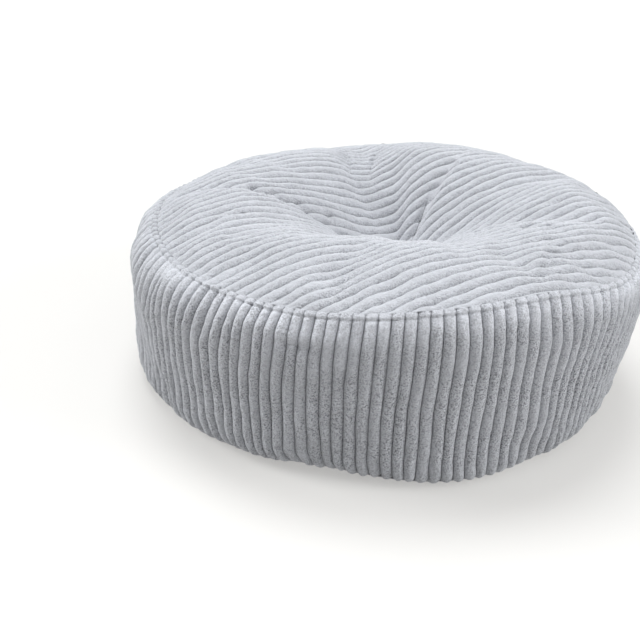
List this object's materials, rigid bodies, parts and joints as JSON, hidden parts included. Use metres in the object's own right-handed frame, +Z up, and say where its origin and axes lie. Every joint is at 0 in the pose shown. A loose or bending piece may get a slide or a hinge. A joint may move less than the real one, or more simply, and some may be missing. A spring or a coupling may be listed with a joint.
{
  "type": "footstool pouf",
  "caption": "Low round bean bag footstool in wide-wale corduroy, with a crowned top tied down at its centre, a drawn-in side band and a flat base.",
  "frame": {"origin": "on the floor, below the middle of the body's outline", "axes": "+Z up, -Y towards the front, +X to the right as seen from the front"},
  "size_m": [0.5548, 0.5524, 0.2031],
  "materials": {
    "corduroy": "brushed wide-wale corduroy, pale bluish grey"
  },
  "bodies": {
    "root": {"top_panel": "corduroy", "side_band": "corduroy", "base_panel": "corduroy"}
  },
  "joints": []
}
